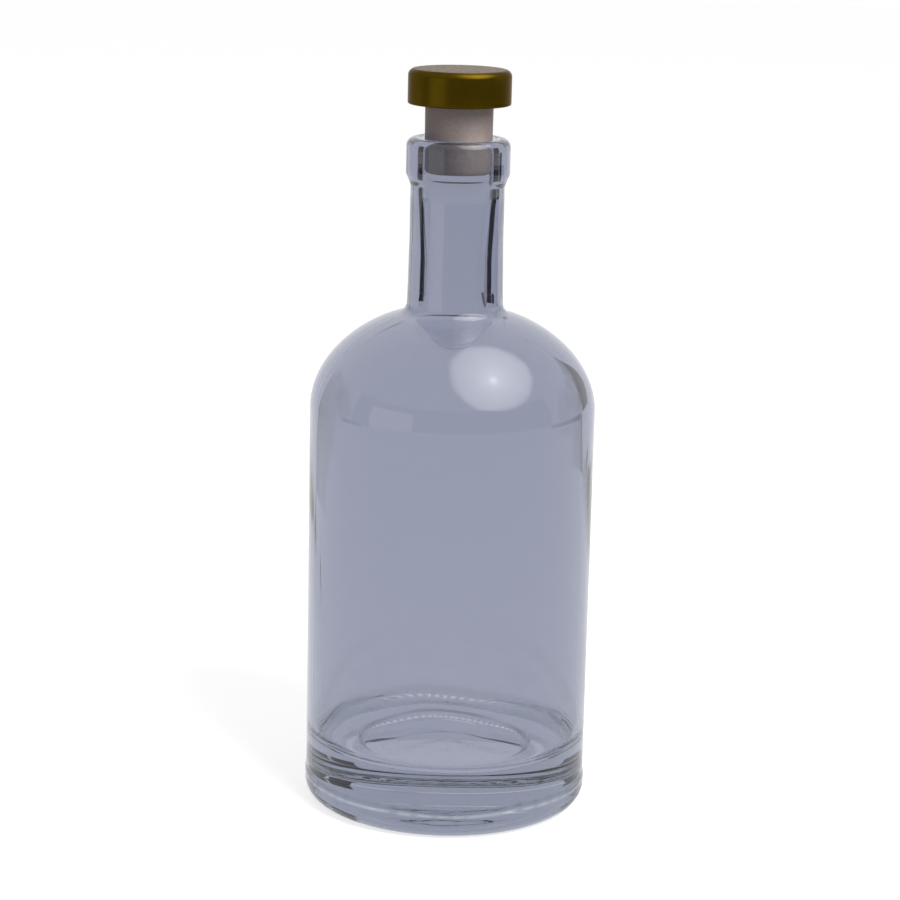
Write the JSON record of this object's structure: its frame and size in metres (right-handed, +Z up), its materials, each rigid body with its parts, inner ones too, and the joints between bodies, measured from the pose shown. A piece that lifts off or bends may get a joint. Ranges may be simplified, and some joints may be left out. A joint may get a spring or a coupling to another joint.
{
  "type": "glass bottle",
  "caption": "Round clear glass bottle with a domed shoulder, straight neck and ringed lip, and a gold-capped push-in stopper partly pulled out.",
  "frame": {"origin": "centre of the base, on the surface that the bottle stands on", "axes": "+Z up along the bottle's axis, through the neck and the stopper"},
  "size_m": [0.0866, 0.0866, 0.2241],
  "materials": {
    "glass": "clear smoky flint glass with a faint blue-violet cast, polished",
    "synthetic_plug": "light foamed synthetic stopper, matt taupe",
    "core_plastic": "moulded plastic, satin",
    "gold_metal": "anodised gold, satin"
  },
  "bodies": {
    "bottle": {"bottle": "glass"},
    "stopper": {"stopper_plug": "synthetic_plug", "cap_core": "core_plastic", "cap_shell": "gold_metal"}
  },
  "joints": [
    {"name": "stopper_pull", "type": "slide", "parent": "bottle", "child": "stopper", "axis": [0, 0, 1], "range_m": [-0.0095, 0.014]}
  ]
}
